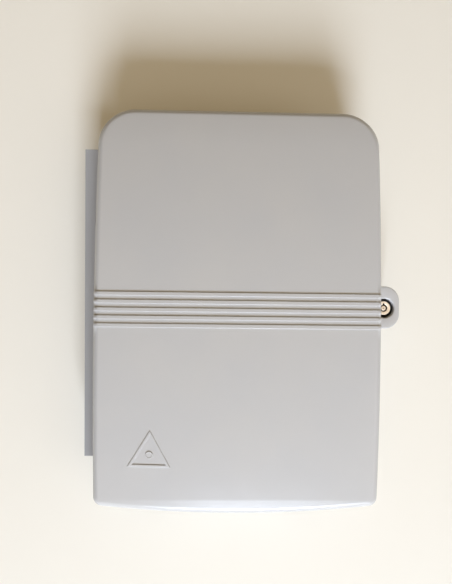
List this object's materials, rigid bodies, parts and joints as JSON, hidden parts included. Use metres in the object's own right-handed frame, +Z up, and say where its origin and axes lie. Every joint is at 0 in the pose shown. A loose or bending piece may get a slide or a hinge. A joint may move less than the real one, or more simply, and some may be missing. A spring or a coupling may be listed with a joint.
{
  "type": "fiber termination box",
  "caption": "Wall box that terminates fibre-optic cable: arched, ribbed cover hinged on a side rail, key lock in an ear, splice tray, adapters and cable glands inside.",
  "frame": {"origin": "middle of the flat back face, on the wall", "axes": "+Z up along the box's height, +Y into the wall, the cover faces -Y, +X to the lock side"},
  "size_m": [0.2767, 0.0809, 0.3505],
  "materials": {
    "grey_cover": "light grey moulded, fine satin texture",
    "grey_base": "light grey moulded, slightly cooler and darker than the cover",
    "grey_rail": "light grey moulded, slightly bluish and darker than the cover",
    "grey_inner": "plain moulded",
    "white_inner": "plain moulded",
    "black": "moulded nylon",
    "rubber": "matt",
    "brass": "plated, lightly worn",
    "steel": "zinc plated",
    "green": "moulded",
    "clear_cap": "milky soft plastic",
    "clear_lid": "clear plastic"
  },
  "bodies": {
    "housing": {"adapter_panel": "grey_inner", "base_shell": "grey_base", "bracket_screw_left": "steel", "bracket_screw_right": "steel", "cable_clamp_left": "grey_inner", "cable_clamp_right": "grey_inner", "clamp_screw_1": "steel", "clamp_screw_2": "steel", "clamp_screw_3": "steel", "clamp_screw_4": "steel", "drop_grommet": "rubber", "dust_cap_1": "clear_cap", "dust_cap_2": "clear_cap", "dust_cap_3": "clear_cap", "dust_cap_4": "clear_cap", "dust_cap_5": "clear_cap", "dust_cap_6": "clear_cap", "dust_cap_7": "clear_cap", "dust_cap_8": "clear_cap", "earth_nut": "steel", "earth_stud": "steel", "gland_blank_left": "rubber", "gland_blank_right": "rubber", "gland_body_left": "black", "gland_body_right": "black", "gland_locknut_left": "black", "gland_locknut_right": "black", "gland_nut_left": "black", "gland_nut_right": "black", "hinge_pin_lower": "steel", "hinge_pin_upper": "steel", "hinge_rail": "grey_rail", "panel_screw_left": "steel", "panel_screw_right": "steel", "rim_gasket": "rubber", "sc_adapter_1": "green", "sc_adapter_2": "green", "sc_adapter_3": "green", "sc_adapter_4": "green", "sc_adapter_5": "green", "sc_adapter_6": "green", "sc_adapter_7": "green", "sc_adapter_8": "green", "slack_spool": "grey_inner", "strength_clamp": "steel", "tray_bracket": "grey_inner", "tray_pin_left": "steel", "tray_pin_right": "steel"},
    "cover": {"cover_shell": "grey_cover", "lock_barrel": "brass", "lock_seal": "rubber", "lock_nut": "steel"},
    "lock": {"lock_plug": "brass", "lock_cam": "steel", "cam_screw": "steel"},
    "tray": {"splice_tray": "white_inner", "splice_comb_upper": "black", "splice_comb_lower": "black", "tray_lid": "clear_lid"}
  },
  "joints": [
    {"name": "cover_swing", "type": "hinge", "parent": "housing", "child": "cover", "pos_m": [-0.1211, -0.048, 0], "axis": [0, 0, -1], "range_deg": [0, 95]},
    {"name": "lock_turn", "type": "hinge", "parent": "cover", "child": "lock", "pos_m": [0.1299, -0.046, 0.0034], "axis": [0, 1, 0], "range_deg": [0, 90]},
    {"name": "tray_tilt", "type": "hinge", "parent": "housing", "child": "tray", "pos_m": [0, -0.038, 0.002], "axis": [1, 0, 0], "range_deg": [0, 12]}
  ]
}
